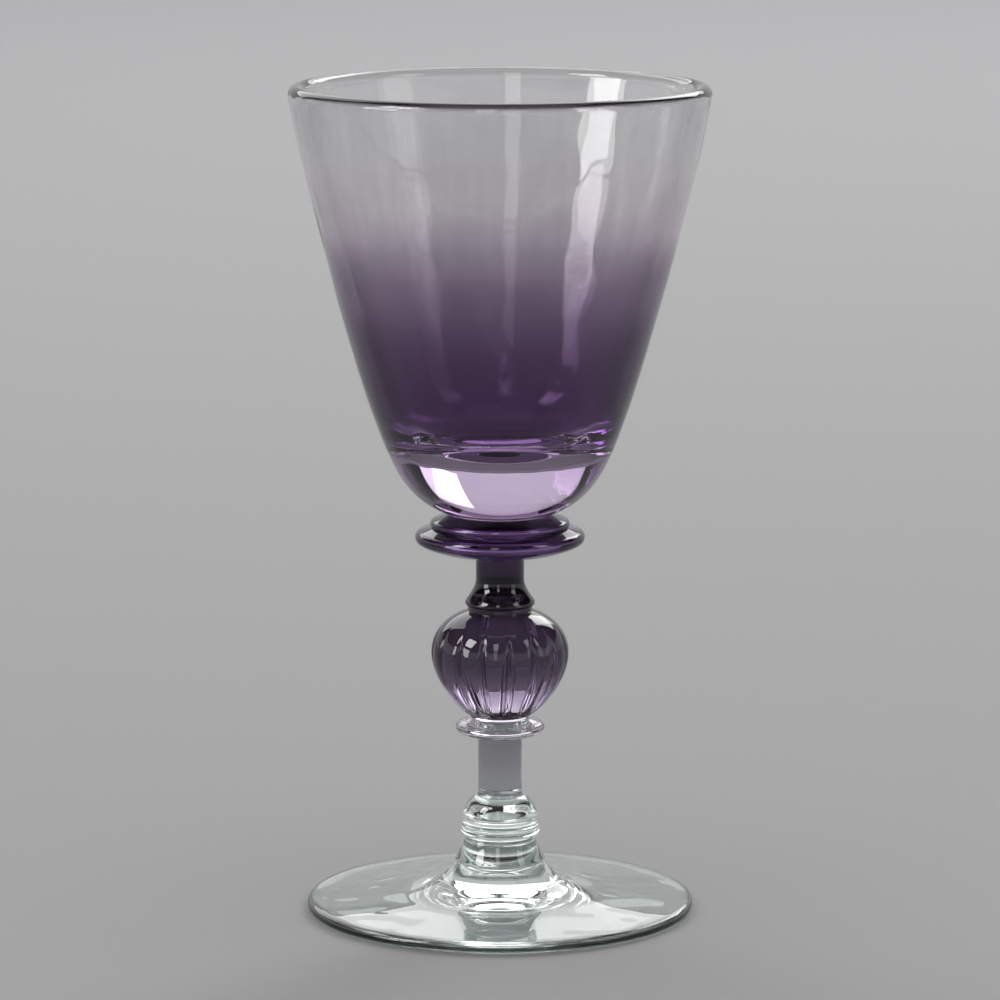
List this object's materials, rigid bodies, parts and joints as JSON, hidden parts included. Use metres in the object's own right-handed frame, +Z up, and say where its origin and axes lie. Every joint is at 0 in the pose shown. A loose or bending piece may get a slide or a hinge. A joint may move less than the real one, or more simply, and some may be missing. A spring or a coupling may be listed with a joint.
{
  "type": "stemmed glass goblet",
  "caption": "Hand-blown stemmed goblet: a conical thick-based bowl shading from clear to amethyst, on a stem of discs, a ribbed knop, columns and rings, over a wide clear foot.",
  "frame": {"origin": "centre of the foot's underside, in the plane that the goblet stands on", "axes": "+Z up along the goblet's axis; the first groove of the ribbed knop lies 7.5 degrees from +X towards +Y"},
  "size_m": [0.0906, 0.0906, 0.18],
  "materials": {
    "amethyst_glass": "fire-polished, shading to clear towards the rim",
    "dark_amethyst_glass": "fire-polished",
    "pale_amethyst_glass": "fire-polished",
    "smoke_glass": "fire-polished",
    "clear_glass": "fire-polished"
  },
  "bodies": {
    "root": {"bowl": "amethyst_glass", "bowl_pad": "amethyst_glass", "upper_merese": "amethyst_glass", "upper_stem": "dark_amethyst_glass", "knop_collar": "dark_amethyst_glass", "ribbed_knop": "dark_amethyst_glass", "lower_merese": "pale_amethyst_glass", "lower_stem": "smoke_glass", "ball_knop": "clear_glass", "upper_ring": "clear_glass", "lower_ring": "clear_glass", "bell": "clear_glass", "foot": "clear_glass"}
  },
  "joints": []
}
